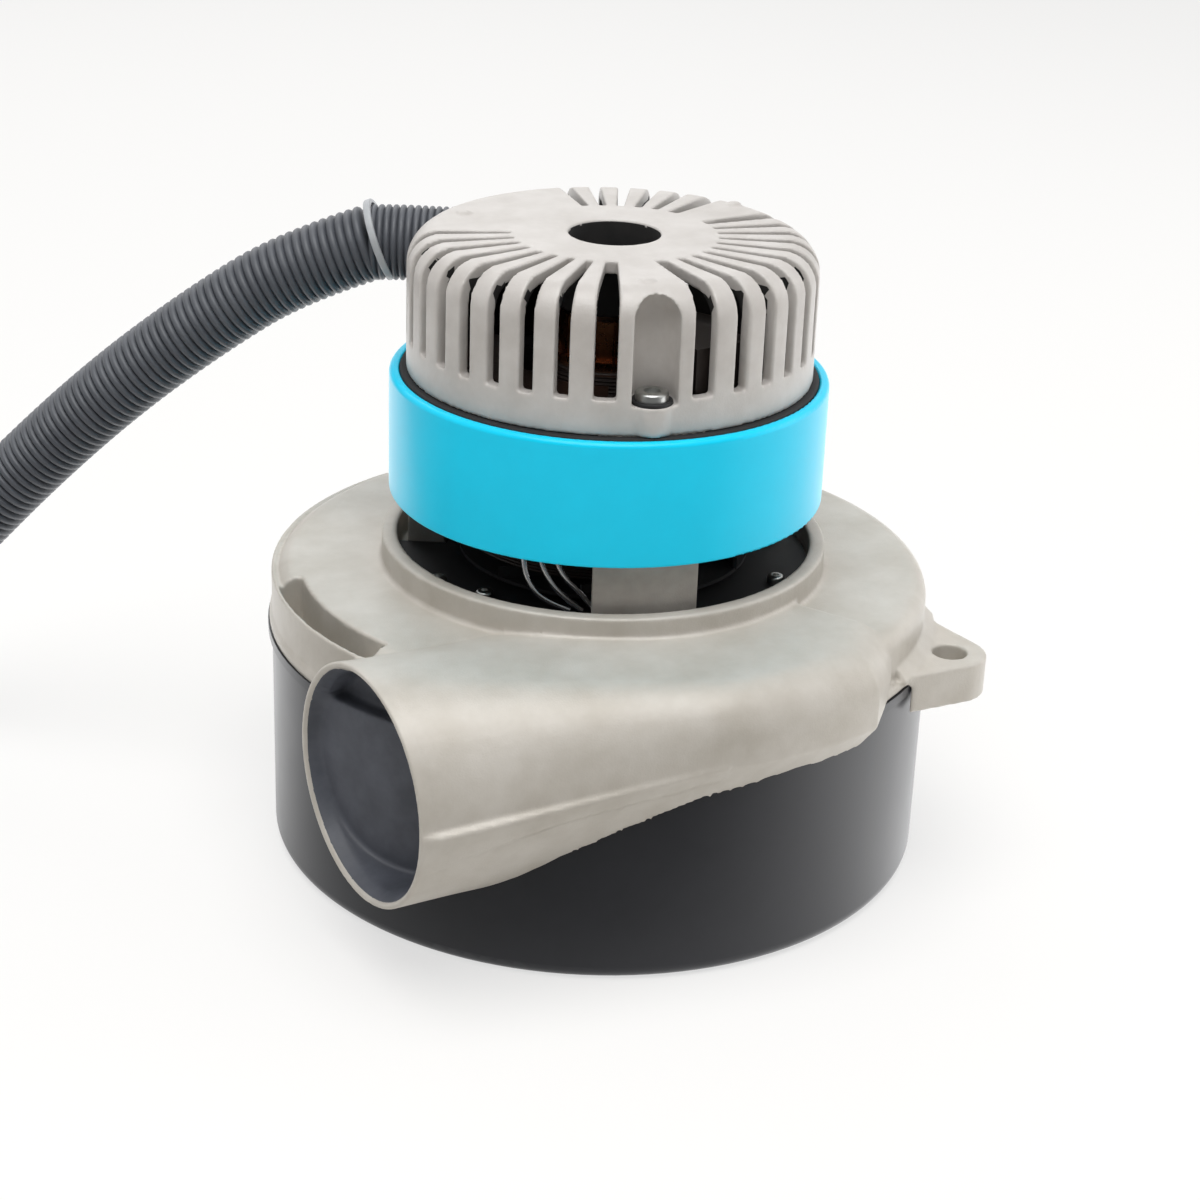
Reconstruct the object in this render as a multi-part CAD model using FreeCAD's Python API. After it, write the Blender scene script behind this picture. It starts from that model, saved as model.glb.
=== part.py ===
# Boat lift blower: a two-stage centrifugal blower with a through-flow motor.
# Origin: rotor axis on the inlet face. +Z runs up the shaft, -X is the way the outlet horn blows.
import FreeCAD
import Part
import math
import os

V = FreeCAD.Vector
AXIS = V(0, 0, 1)
ORIGIN = V(0, 0, 0)

# Clearances shared by everything that seats or runs
SEAT = 0.1            # radial play of a part seated in the same body
GAP = 0.3             # gap between separate faces that do not bear on each other
RUN = 0.05            # radial running clearance
STAGE_GAP = 2.6       # axial room between a wheel and a still plate
OVER = 1.0            # how far a cutting or joining solid runs past a face

# Fan shell, a deep-drawn steel can that stands on the inlet face
shell_radius = 91.5
shell_wall = 1.2
shell_height = 64.0
shell_corner = 4.0
shell_lip = 1.1
shell_lip_height = 2.6
shell_play = 0.4
eye_radius = 32.0
eye_lip_height = 5.5

# Scroll casting
deck_rise = 17.0            # motor floor over the shell's rim
deck_wall = 3.5
cast_inset = 1.5            # casting's wall inside the shell's radius
cast_wall = 3.2
flange_reach = 2.2
flange_height = 2.6
spigot_depth = 7.0
deck_round = 5.0
collar_gap = 2.5            # collar clear of the motor posts
collar_wall = 4.2
collar_rise = 7.8
recess_depth = 6.0
recess_start = -198.0
recess_end = -164.0
baffle_height = 1.4
baffle_inner = 22.0

# Outlet duct and horn
horn_bore = 57.0
horn_wall = 3.2
horn_drop = 10.0            # horn's axis under the shell's rim
horn_inset = 55.9           # horn's axis inside the duct's front edge
horn_reach = 7.8            # mouth past the shell
horn_straight = 4.1
crease_reach = 7.3          # duct's front edge past the shell
roof_rise = 2.0             # duct's roof over the motor floor
shoulder_width = 12.0
shoulder_height = 12.0
foot_width = 27.0           # slope under the front edge
foot_height = 36.5
duct_start = -77.0
duct_tangent = -104.0
duct_fade = 11.0            # angle over which the duct runs out into the wall
duct_core_radius = 20.0

# Mounting ears
ear_reach = 6.8             # ear's hole past the shell
ear_hole = 9.5
ear_tip = 10.0
ear_thickness = 11.0
ear_angles = (-48.2, 71.8)
ear_root_half = 17.0
ear_root_rise = 3.4

# Dome cover
dome_radius = 54.7
dome_wall = 3.6
dome_rise = 5.0             # dome's foot over the stator
dome_height = 37.2
dome_round = 9.0
dome_hole = 24.6
dome_hub = 17.0
slot_rise = 9.0
slot_inner = 27.5
slot_angle = 4.0
wide_slot_angle = 6.2
slot_offsets = (13.4, 25.0, 35.0, 45.0, 55.0)
plain_slots = ((2, -13.4), (2, -25.0), (2, -35.0), (2, -45.0), (2, 13.4))
pocket_width = 11.8
pocket_height = 28.0
pocket_drop = 1.5           # pocket's floor under the slots
pocket_wall = 2.2

# Motor frame: posts on the motor floor, bolts down through the dome
bolt_count = 3
bolt_phase = -111.5
bolt_inset = 4.2
bolt_size = 5.0
bolt_grip = 24.0
bolt_head = 8.6
bolt_head_height = 4.4
bolt_socket = 4.0
bolt_socket_floor = 1.8
post_inset = 0.2
post_depth = 7.8
post_half = 15.0
post_ledge_depth = 2.7

# Stator and armature
core_rise = 18.0            # stator over the motor floor
core_height = 32.0
core_wall = 8.5
pole_half = 42.0
pole_neck = 20.0
air_gap = 0.7
armature_radius = 24.3
armature_slots = 12
armature_slot_depth = 7.0
coil_air = 2.5
coil_play = 2.0
coil_inset = 7.0
coil_turn = 8.8
coil_half = 56.0
coil_bar_angles = (22.0, 40.0)
winding_turn = 9.0
winding_inset = 2.2
commutator_radius = 14.0
commutator_height = 12.5
commutator_bars = 18
riser_width = 2.0
riser_height = 2.0

# Shaft and bearings
shaft_radius = 6.0
shaft_bottom = 9.0
shaft_end = 4.0
journal_radius = 4.0
lower_bearing = (12.0, 32.0, 10.0)
upper_bearing = (8.0, 22.0, 7.0)
upper_bearing_rise = 20.0
bearing_boss_wall = 3.4
bearing_boss_rise = 1.2
bearing_boss_depth = 11.0
bearing_floor_wall = 1.6
seal_gap = 5.0
race_share = 0.22           # race's wall as a share of the bearing's section
shield_sheet = 0.6
shield_inset = 0.3
ledge_wall = 1.8
ledge_hole = 18.0
washer_width = 2.4
washer_sheet = 0.8

# Fan stages
wheel_gap = 8.3             # wheels inside the shell's wall
wheel_sheet = 1.0
vane_sheet = 1.0
vane_count = 7
vane_lean = -62.0
wheel_bottom = 8.5
wheel_eye = 34.5
stage_one_width = 12.0
stage_two_width = 10.5
return_width = 8.5
return_count = 9
return_lean = 48.0
return_skirt = 5.0
clip_width = 2.4
clip_height = 2.0
plate_sheet = 1.0
spacer_radius = 10.0
hub_flange = 3.0
fan_washer_height = 1.6
fan_nut_height = 7.0
fan_nut_flats = 19.0

# Cooling fan over the motor floor
cooler_radius = 40.0
cooler_blades = 10
cooler_height = 3.0
cooler_lean = -24.0
cooler_blade_start = 18.0

# Band and liner round the motor
band_gap = 1.9              # band clear of the dome
band_wall = 2.7
band_rise = 2.9             # band's foot over the stator's
band_height = 33.6
liner_drop = 1.2

# Brush gear
brush_plate = 2.4
brush_plate_gap = 0.6
brush_width = 6.4
brush_height = 9.6
brush_length = 20.0
brush_tube_wall = 0.8
brush_box_wall = 3.0
brush_rise = 0.6            # brush over the commutator's riser
tube_setback = 3.6
holder_setback = 2.0
holder_inset = 1.6
holder_back = 3.4
spring_radius = 2.4
spring_wire = 0.7
spring_turns = 5

# Conduit: corrugated hose, its boot, tie and end fitting
conduit_diameter = 21.0
gland_radius = 14.5
gland_axis = 146.1
gland_offset = 30.0
gland_rise = 23.6
gland_in = 36.0
gland_out = 56.0
tie_width = 4.6
tie_wall = 1.3
tie_distance = 4.0
tie_head = (5.0, 6.4, 1.0)
tie_head_turn = 215.0
fitting_radius = 14.2
fitting_length = 21.0
fitting_edge = 1.2
fitting_grips = 8
fitting_grip_radius = 1.4
nipple_radius = 10.4
nipple_length = 13.0
locknut_radius = 14.2
locknut_width = 4.0
locknut_lugs = 6

# Route of the conduit's centre line, chosen by hand
conduit_route = [
    (-38.9, 62.3, 159.5), (-57.1, 74.5, 151.5), (-76.8, 88.3, 135.5), (-97.8, 105.5, 114.0),
    (-118.2, 125.2, 87.0), (-139.3, 140.6, 59.0), (-162.4, 151.9, 37.0), (-191.1, 158.5, 21.0),
    (-224.1, 157.8, 12.4), (-256.8, 148.5, 10.8), (-286.0, 132.0, 11.2), (-310.0, 110.7, 14.5),
    (-327.5, 86.3, 14.5),
]

# Sizes that follow: heights
deck_z = shell_height + deck_rise
flange_top = shell_height + flange_height
chamber_top = deck_z - deck_wall
collar_top = deck_z + collar_rise
duct_roof = deck_z + roof_rise
horn_z = shell_height - horn_drop
core_bottom = deck_z + core_rise
core_top = core_bottom + core_height
dome_bottom = core_top + dome_rise
dome_top = dome_bottom + dome_height
slot_bottom = dome_bottom + slot_rise
pocket_bottom = slot_bottom - pocket_drop
upper_bearing_z = dome_bottom + upper_bearing_rise
band_bottom = core_bottom + band_rise
band_top = band_bottom + band_height
gland_z = dome_bottom + gland_rise

# Sizes that follow: radii
wall_inner = shell_radius - shell_wall
lip_radius = shell_radius + shell_lip
shell_clear = lip_radius + shell_play
cast_radius = shell_radius - cast_inset
chamber_radius = cast_radius - cast_wall
flange_radius = cast_radius + flange_reach
recess_radius = cast_radius - recess_depth
crease_radius = shell_radius + crease_reach
ear_circle = shell_radius + ear_reach
horn_radius = horn_bore / 2 + horn_wall
horn_x = -(shell_radius + horn_reach)
horn_y = -(crease_radius - horn_inset)
bolt_circle = dome_radius - bolt_inset
post_outer = dome_radius - post_inset
post_inner = post_outer - post_depth
post_ledge = post_inner - post_ledge_depth
collar_inner = post_outer + collar_gap
collar_outer = collar_inner + collar_wall
core_outer = post_inner - SEAT
pole_bore = armature_radius + air_gap
coil_inner = pole_bore + coil_air
coil_outer = core_outer - coil_inset
brush_plate_inner = coil_outer + brush_plate_gap
wheel_radius = wall_inner - wheel_gap
wheel_hub = spacer_radius + hub_flange
band_inner = dome_radius + band_gap
band_outer = band_inner + band_wall
conduit_radius = conduit_diameter / 2
bolt_angles = [bolt_phase + k * 360.0 / bolt_count for k in range(bolt_count)]


def cylinder(radius, low, high, x=0.0, y=0.0):
    return Part.makeCylinder(radius, high - low, V(x, y, low), AXIS)


def ring(inner, outer, low, high):
    return cylinder(outer, low, high).cut(cylinder(inner, low - OVER, high + OVER))


def polar(radius, degrees, z=0.0):
    angle = math.radians(degrees)
    return V(radius * math.cos(angle), radius * math.sin(angle), z)


def turned(shape, degrees):
    copy = shape.copy()
    copy.rotate(ORIGIN, AXIS, degrees)
    return copy


def polygon_prism(points, low, high):
    wire = Part.makePolygon([V(x, y, low) for x, y in points + points[:1]])
    return Part.Face(wire).extrude(V(0, 0, high - low))


def wedge(inner, outer, start, end, low, high):
    # A ring sector between two angles
    middle = (start + end) / 2
    arcs = []
    for radius, first, last in ((outer, start, end), (inner, end, start)):
        ends = [polar(radius, angle, low) for angle in (first, middle, last)]
        arcs.append(Part.Arc(*ends).toShape())
    sides = [
        Part.makeLine(polar(outer, end, low), polar(inner, end, low)),
        Part.makeLine(polar(inner, start, low), polar(outer, start, low)),
    ]
    wire = Part.Wire([arcs[0], sides[0], arcs[1], sides[1]])
    return Part.Face(wire).extrude(V(0, 0, high - low))


def revolved(profile, sweep=360.0):
    # A profile of (radius, z) corners; a third value rounds that corner
    corners = []
    count = len(profile)
    for index, corner in enumerate(profile):
        here = V(corner[0], 0, corner[1])
        if len(corner) == 2:
            corners.append((here, here, None))
            continue
        before = V(profile[index - 1][0], 0, profile[index - 1][1])
        after = V(profile[(index + 1) % count][0], 0, profile[(index + 1) % count][1])
        to_before = (before - here).normalize()
        to_after = (after - here).normalize()
        half = to_before.getAngle(to_after) / 2
        reach = corner[2] / math.tan(half)
        bisector = (to_before + to_after).normalize()
        centre = here + bisector * (corner[2] / math.sin(half))
        corners.append((here + to_before * reach, here + to_after * reach,
                        centre - bisector * corner[2]))
    edges = []
    for index in range(count):
        first, last, middle = corners[index]
        if middle is not None:
            edges.append(Part.Arc(first, middle, last).toShape())
        following = corners[(index + 1) % count][0]
        if (following - last).Length > 1e-6:
            edges.append(Part.makeLine(last, following))
    return Part.Face(Part.Wire(edges)).revolve(ORIGIN, AXIS, sweep)


def fused(shapes):
    return shapes[0].multiFuse(shapes[1:]).removeSplitter() if len(shapes) > 1 else shapes[0]


def group(shapes):
    return Part.makeCompound(shapes)


def hexagon(flats, low, high, turn=0.0):
    corner = flats / math.sqrt(3)
    points = []
    for k in range(6):
        point = polar(corner, 60 * k + turn)
        points.append((point.x, point.y))
    return polygon_prism(points, low, high)


def along(shape, place, direction):
    # Stands a shape made round +Z at a place, with +Z turned to the direction
    copy = shape.copy()
    turn = FreeCAD.Rotation(AXIS, direction)
    copy.Placement = FreeCAD.Placement(place, turn)
    return copy


# Fan shell

def fan_shell():
    outside = [
        (eye_radius + shell_wall, 0), (shell_radius, 0, shell_corner),
        (shell_radius, shell_height - shell_lip_height),
        (lip_radius, shell_height - shell_lip_height), (lip_radius, shell_height),
        (wall_inner, shell_height), (wall_inner, shell_wall, shell_corner - shell_wall),
        (eye_radius + shell_wall, shell_wall),
    ]
    pan = revolved(outside)
    eye = ring(eye_radius, eye_radius + shell_wall, 0, eye_lip_height)
    return fused([pan, eye])


# Scroll casting

def duct_section(angle, grow, inner, reach=1.0):
    # Outline of the duct in the upright plane at an angle; grow is minus for the hollow
    # and reach under 1 draws the front in towards the casting's wall
    roof = duct_roof + grow
    crease = cast_radius + (crease_radius - cast_radius) * reach + grow
    shoulder = crease - shoulder_width
    side_top = roof - shoulder_height
    foot_radius = crease - foot_width
    foot_z = shell_height - foot_height - grow

    def at(radius, z):
        return polar(radius, angle, z)

    bulge = math.sqrt(0.5)
    crown = at(shoulder + shoulder_width * bulge, side_top + shoulder_height * bulge)
    return [
        Part.makeLine(at(inner, roof), at(shoulder, roof)),
        Part.Arc(at(shoulder, roof), crown, at(crease, side_top)).toShape(),
        Part.makeLine(at(crease, side_top), at(crease, shell_height)),
        Part.makeLine(at(crease, shell_height), at(foot_radius, foot_z)),
        Part.makeLine(at(foot_radius, foot_z), at(inner, foot_z)),
        Part.makeLine(at(inner, foot_z), at(inner, roof)),
    ]


def mouth_section(radius, x):
    # The horn's circle, parted where the duct's corners run in
    def at(degrees):
        angle = math.radians(degrees)
        return V(x, horn_y - radius * math.cos(angle), horn_z + radius * math.sin(angle))

    corners = (150, 78, 22, 0, -70, -150, -210)
    edges = []
    for first, last in zip(corners, corners[1:]):
        edges.append(Part.Arc(at(first), at((first + last) / 2), at(last)).toShape())
    return edges


def lofted(first, second):
    return Part.makeLoft([Part.Wire(first), Part.Wire(second)], True, True)


def duct(grow, radius, x):
    return lofted(duct_section(duct_tangent, grow, duct_core_radius), mouth_section(radius, x))


def duct_bend(grow, inner, start):
    # The stretch of duct that still follows the circle
    face = Part.Face(Part.Wire(duct_section(duct_tangent, grow, inner)))
    return face.revolve(ORIGIN, AXIS, start - duct_tangent)


def duct_end():
    # The duct's closed end, run out into the casting's wall
    return lofted(duct_section(duct_start, 0, collar_inner),
                  duct_section(duct_start + duct_fade, 0, collar_inner, 0.1))


def ear(angle):
    low = flange_top - ear_thickness
    root = chamber_radius + OVER
    tip = polar(ear_circle, angle)
    start = polar(root, angle + ear_root_half)
    end = polar(root, angle - ear_root_half)
    distance = math.hypot(start.x - tip.x, start.y - tip.y)
    spread = math.degrees(math.acos(ear_tip / distance))
    points = []
    for corner, sign in ((end, 1), (start, -1)):
        towards = math.degrees(math.atan2(corner.y - tip.y, corner.x - tip.x))
        touch = math.radians(towards + sign * spread)
        points.append((tip.x + ear_tip * math.cos(touch), tip.y + ear_tip * math.sin(touch)))
    outline = [(start.x, start.y), (end.x, end.y), points[0], points[1]]
    plate = polygon_prism(outline, low, flange_top)
    plate = plate.fuse(cylinder(ear_tip, low, flange_top, tip.x, tip.y))
    # Sloped web over the ear's root
    web = revolved([(root, flange_top - OVER), (cast_radius + ear_root_rise, flange_top - OVER),
                    (cast_radius + ear_root_rise, flange_top),
                    (cast_radius, flange_top + ear_root_rise), (root, flange_top + ear_root_rise)],
                   2 * ear_root_half - 4.0)
    return plate.fuse(turned(web, angle - ear_root_half + 2.0))


def motor_posts():
    posts = []
    for angle in bolt_angles:
        body = wedge(post_inner, post_outer, -post_half, post_half, deck_z, dome_bottom)
        ledge = wedge(post_ledge, post_inner + OVER, -post_half, post_half, deck_z, core_bottom)
        tapped = cylinder(bolt_size / 2, dome_bottom - bolt_grip - 2 * OVER, dome_bottom + OVER,
                          bolt_circle)
        posts.append(turned(body.fuse(ledge).cut(tapped).removeSplitter(), angle))
    return group(posts)


def motor_baffle():
    # Thin moulded plate on the motor floor, notched round the posts
    plate = ring(baffle_inner, collar_inner - GAP, deck_z, deck_z + baffle_height)
    for angle in bolt_angles:
        notch = wedge(post_ledge - GAP, collar_inner + OVER, -post_half - OVER, post_half + OVER,
                      deck_z - OVER, deck_z + baffle_height + OVER)
        plate = plate.cut(turned(notch, angle))
    return plate


def scroll_casting():
    body = revolved([
        (0, shell_height), (flange_radius, shell_height), (flange_radius, flange_top),
        (cast_radius, flange_top), (cast_radius, deck_z, deck_round), (0, deck_z),
    ])
    body = body.cut(wedge(recess_radius, flange_radius + OVER, recess_start, recess_end,
                          flange_top, deck_z + OVER))
    outer = [duct(0, horn_radius, horn_x), duct_bend(0, collar_inner, duct_start), duct_end()]
    outer.append(cylinder(collar_outer, deck_z - OVER, collar_top))
    for angle in ear_angles:
        outer.append(ear(angle))
    shape = body.multiFuse(outer).removeSplitter()
    # Everything below the flange stays clear of the shell
    shape = shape.cut(cylinder(shell_clear, horn_z - 2 * horn_radius, shell_height))
    shape = shape.cut(cylinder(collar_inner, deck_z, collar_top + OVER))
    for hollow in passages():
        shape = shape.cut(hollow)
    # Spigot that centres the shell
    shape = shape.fuse(ring(wall_inner - SEAT - cast_wall, wall_inner - SEAT,
                            shell_height - spigot_depth, shell_height + OVER))
    shape = shape.fuse(bearing_boss())
    shape = shape.cut(bearing_pocket())
    for angle in ear_angles:
        hole = polar(ear_circle, angle)
        shape = shape.cut(cylinder(ear_hole / 2, flange_top - ear_thickness - OVER,
                                   flange_top + ear_root_rise + OVER, hole.x, hole.y))
    return shape


def passages():
    # The air's way through the casting: a wall stays beside the shell and in the recess,
    # and the motor floor stays whole over it
    chamber = cylinder(chamber_radius, shell_height - OVER, chamber_top)
    chamber = chamber.cut(wedge(recess_radius - cast_wall, cast_radius, recess_start - 3.0,
                                recess_end + 3.0, shell_height - 2 * OVER, chamber_top + OVER))
    throat = duct(-cast_wall, horn_bore / 2, horn_x + horn_straight)
    bore = Part.makeCylinder(horn_bore / 2, horn_straight + OVER,
                             V(horn_x - OVER, horn_y, horn_z), V(1, 0, 0))
    bend = duct_bend(-cast_wall, collar_outer, duct_start - 2.0)
    beside_shell = cylinder(shell_clear + cast_wall, horn_z - 2 * horn_radius,
                            shell_height + cast_wall)
    motor_floor = cylinder(collar_outer, chamber_top, collar_top)
    hollows = [chamber]
    for hollow in (throat, bore, bend):
        hollows.append(hollow.cut(beside_shell).cut(motor_floor))
    return hollows


# Lower bearing seat in the casting's web

bearing_floor = chamber_top - bearing_boss_depth
bearing_low = bearing_floor + bearing_floor_wall
bearing_high = bearing_low + lower_bearing[2]
seal_hole = shaft_radius + seal_gap


def bearing_boss():
    outer = lower_bearing[1] / 2 + bearing_boss_wall
    return ring(seal_hole, outer, bearing_floor, deck_z + bearing_boss_rise)


def bearing_pocket():
    high = deck_z + bearing_boss_rise + OVER
    pocket = cylinder(lower_bearing[1] / 2 + SEAT / 2, bearing_low, high)
    return pocket.fuse(cylinder(seal_hole, bearing_floor - OVER, high))


def bearing_outer(size, low):
    bore, outside, width = size
    section = (outside - bore) / 2
    race = ring(outside / 2 - race_share * section, outside / 2, low, low + width)
    shield_in = bore / 2 + race_share * section + GAP
    shield_out = outside / 2 - race_share * section / 2
    parts = [race]
    for start in (low + shield_inset, low + width - shield_inset - shield_sheet):
        parts.append(ring(shield_in, shield_out, start, start + shield_sheet))
    return fused(parts)


def bearing_inner(size, low):
    bore, outside, width = size
    return ring(bore / 2 + RUN / 2, bore / 2 + race_share * (outside - bore) / 2, low, low + width)


# Fan stages

def blade_strip(inner, outer, lean, sheet, low, high):
    # One curved vane between two radii, swept back by lean degrees
    points_out = [polar(inner, 0), polar((inner + outer) / 2, lean * 0.36), polar(outer, lean)]
    arc = Part.Arc(*points_out)
    first = arc.toShape()
    centre = first.Curve.Center
    grown = []
    for point in points_out:
        away = (point - centre).normalize()
        grown.append(point + away * sheet)
    second = Part.Arc(*grown).toShape()
    ends = [Part.makeLine(points_out[2], grown[2]), Part.makeLine(grown[0], points_out[0])]
    wire = Part.Wire([first, ends[0], second.reversed(), ends[1]])
    blade = Part.Face(wire).extrude(V(0, 0, high - low))
    blade.translate(V(0, 0, low))
    return blade


def wheel(low, width):
    front = ring(wheel_eye, wheel_radius, low, low + wheel_sheet)
    back_low = low + wheel_sheet + width
    back = ring(shaft_radius + RUN, wheel_radius, back_low, back_low + wheel_sheet)
    parts = [front, back]
    blade = blade_strip(wheel_eye + OVER, wheel_radius - vane_sheet / 2, vane_lean, vane_sheet,
                        low + wheel_sheet / 2, back_low + wheel_sheet / 2)
    for k in range(vane_count):
        parts.append(turned(blade, k * 360.0 / vane_count))
    return fused(parts)


wheel_one_top = wheel_bottom + 2 * wheel_sheet + stage_one_width
return_low = wheel_one_top + STAGE_GAP
return_top = return_low + 2 * plate_sheet + return_width
wheel_two_low = return_top + STAGE_GAP
wheel_two_top = wheel_two_low + 2 * wheel_sheet + stage_two_width


def return_plate():
    # Still plate that turns the air back to the second wheel's eye
    lower = ring(spacer_radius + STAGE_GAP, wheel_radius, return_low, return_low + plate_sheet)
    upper = ring(wheel_eye, wall_inner - SEAT, return_top - plate_sheet, return_top)
    skirt = ring(wall_inner - SEAT - plate_sheet, wall_inner - SEAT, return_top - plate_sheet,
                 return_top + return_skirt)
    blade = blade_strip(wheel_eye + 2 * OVER, wheel_radius - vane_sheet, return_lean, vane_sheet,
                        return_low + plate_sheet / 2, return_top - plate_sheet / 2)
    parts = [lower, upper, skirt]
    for k in range(return_count):
        parts.append(turned(blade, k * 360.0 / return_count))
    return fused(parts)


def return_clip():
    # Rolled ring in the shell that the return plate sits on
    return ring(wall_inner - SEAT - clip_width, wall_inner - SEAT, return_top - plate_sheet - clip_height,
                return_top - plate_sheet)


def spacer(low, high, radius=spacer_radius):
    return ring(shaft_radius + RUN, radius, low, high)


# Shaft, nut and washers

shaft_top = upper_bearing_z + upper_bearing[2] + shaft_end
shaft_chamfer = 0.8
step_drop = 2.0


def shaft():
    step = upper_bearing_z - step_drop
    return revolved([
        (0, shaft_bottom), (shaft_radius - shaft_chamfer, shaft_bottom),
        (shaft_radius, shaft_bottom + shaft_chamfer), (shaft_radius, step), (journal_radius, step),
        (journal_radius, shaft_top - shaft_chamfer), (journal_radius - shaft_chamfer, shaft_top),
        (0, shaft_top),
    ])


def fan_washer():
    high = wheel_one_top - wheel_sheet
    return spacer(high - fan_washer_height, high, wheel_hub)


def fan_nut():
    high = wheel_one_top - wheel_sheet - fan_washer_height
    low = high - fan_nut_height
    return hexagon(fan_nut_flats, low, high).cut(cylinder(shaft_radius + RUN, low - OVER, high + OVER))


def cooling_fan():
    low = deck_z + bearing_boss_rise + STAGE_GAP
    hub = spacer(bearing_high, low + wheel_sheet, spacer_radius)
    disc = ring(shaft_radius + RUN, cooler_radius, low, low + wheel_sheet)
    blade = blade_strip(cooler_blade_start, cooler_radius - vane_sheet / 2, cooler_lean,
                        vane_sheet, low + wheel_sheet / 2, low + wheel_sheet + cooler_height)
    parts = [hub, disc]
    for k in range(cooler_blades):
        parts.append(turned(blade, k * 360.0 / cooler_blades))
    return fused(parts)


# Stator

def stator_core():
    yoke_inner = core_outer - core_wall
    parts = [ring(yoke_inner, core_outer, core_bottom, core_top)]
    for side in (0, 180):
        pole = wedge(pole_bore, yoke_inner + OVER, -pole_half, pole_half, core_bottom, core_top)
        for first, last in ((-pole_half - 1, -pole_neck), (pole_neck, pole_half + 1)):
            pole = pole.cut(wedge(coil_inner + coil_play - RUN, yoke_inner, first, last,
                                  core_bottom - OVER, core_top + OVER))
        parts.append(turned(pole, side))
    return fused(parts)


def field_coil(side):
    slot_in = coil_inner + coil_play
    slot_out = core_outer - core_wall - SEAT
    bottom = wedge(coil_inner, coil_outer, -coil_half, coil_half, core_bottom - coil_turn,
                   core_bottom - SEAT)
    top = wedge(coil_inner, coil_outer, -coil_half, coil_half, core_top + SEAT,
                core_top + coil_turn)
    near, far = coil_bar_angles
    bars = []
    for first, last in ((-far, -near), (near, far)):
        bars.append(wedge(slot_in, slot_out, first, last, core_bottom - OVER, core_top + OVER))
    coil = fused([bottom, top] + bars)
    return turned(coil, side)


# Armature

def armature_core():
    core = ring(shaft_radius + RUN, armature_radius, core_bottom, core_top)
    mouth = wedge(armature_radius - armature_slot_depth, armature_radius + OVER, -3.0, 3.0,
                  core_bottom - OVER, core_top + OVER)
    cuts = []
    for k in range(armature_slots):
        cuts.append(turned(mouth, k * 360.0 / armature_slots))
    return core.cut(group(cuts))


def armature_winding():
    inner = shaft_radius + 2.0
    outer = armature_radius - winding_inset
    lower = revolved([(inner, core_bottom - winding_turn, 2.5),
                      (outer, core_bottom - winding_turn, 4.0),
                      (outer, core_bottom - RUN), (inner, core_bottom - RUN)])
    upper = revolved([(inner, core_top + RUN), (outer, core_top + RUN),
                      (outer - 4.0, core_top + winding_turn, 2.5),
                      (inner, core_top + winding_turn, 1.0)])
    return group([lower, upper])


commutator_low = core_top + winding_turn + SEAT


def commutator():
    high = commutator_low + commutator_height
    rim = commutator_radius + riser_width
    drum = ring(shaft_radius + RUN, commutator_radius, commutator_low, high)
    drum = drum.fuse(ring(shaft_radius + RUN, rim, commutator_low, commutator_low + riser_height))
    gap = wedge(commutator_radius - 1.2, rim + OVER, -1.2, 1.2, commutator_low - OVER, high + OVER)
    cuts = []
    for k in range(commutator_bars):
        cuts.append(turned(gap, k * 360.0 / commutator_bars))
    return drum.cut(group(cuts))


# Brush gear: two brushes on one line through the shaft

brush_z = commutator_low + riser_height + brush_rise + brush_height / 2
brush_start = commutator_radius + GAP
brush_turns = {"left": 90.0, "right": -90.0}
brush_tube_start = brush_start + tube_setback
holder_end = dome_radius - dome_wall - holder_inset
plate_low = dome_bottom + RUN


def brush_ring():
    outer = dome_radius - dome_wall - GAP
    high = plate_low + brush_plate
    plate = ring(brush_plate_inner, outer, plate_low, high)
    for angle in bolt_angles:
        place = polar(bolt_circle, angle)
        plate = plate.cut(cylinder(boss_radius + GAP, plate_low - OVER, high + OVER, place.x, place.y))
    return plate


def box(length, width, low, high, start):
    return Part.makeBox(length, width, high - low, V(start, -width / 2, low))


def brush_holder():
    wide = brush_width + 2 * (RUN + brush_tube_wall + brush_box_wall)
    tall = brush_height / 2 + RUN + brush_tube_wall + brush_box_wall
    start = brush_tube_start + holder_setback
    block = box(holder_end - start, wide, brush_z - tall, brush_z + tall, start)
    hole = box(holder_end - holder_back - start + OVER, brush_width + 2 * (RUN + brush_tube_wall),
               brush_z - brush_height / 2 - RUN - brush_tube_wall,
               brush_z + brush_height / 2 + RUN + brush_tube_wall, start - OVER)
    foot = box(holder_end - brush_plate_inner - OVER, wide, plate_low + brush_plate,
               brush_z - tall + OVER, brush_plate_inner + OVER)
    return block.cut(hole).fuse(foot).removeSplitter()


def brush_tube():
    length = holder_end - holder_back - SEAT - brush_tube_start
    outer = box(length, brush_width + 2 * brush_tube_wall, brush_z - brush_height / 2 - brush_tube_wall,
                brush_z + brush_height / 2 + brush_tube_wall, brush_tube_start)
    inner = box(length + 2 * OVER, brush_width + 2 * RUN, brush_z - brush_height / 2 - RUN,
                brush_z + brush_height / 2 + RUN, brush_tube_start - OVER)
    return outer.cut(inner)


def brush():
    block = box(brush_length, brush_width, brush_z - brush_height / 2,
                brush_z + brush_height / 2, brush_start)
    drum = cylinder(commutator_radius + GAP, brush_z - brush_height, brush_z + brush_height)
    return block.cut(drum)


def brush_spring():
    start = brush_start + brush_length + RUN + spring_wire / 2
    end = holder_end - holder_back - SEAT - spring_wire / 2
    mean = spring_radius - spring_wire / 2
    helix = Part.makeHelix((end - start) / spring_turns, end - start, mean)
    circle = Part.Wire(Part.makeCircle(spring_wire / 2, V(mean, 0, 0), V(0, 1, 0)))
    coil = Part.Wire(helix.Edges).makePipeShell([circle], True, True)
    return along(coil, V(start, 0, brush_z), V(1, 0, 0))


# Dome cover

boss_radius = pocket_width / 2 + pocket_wall


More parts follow.
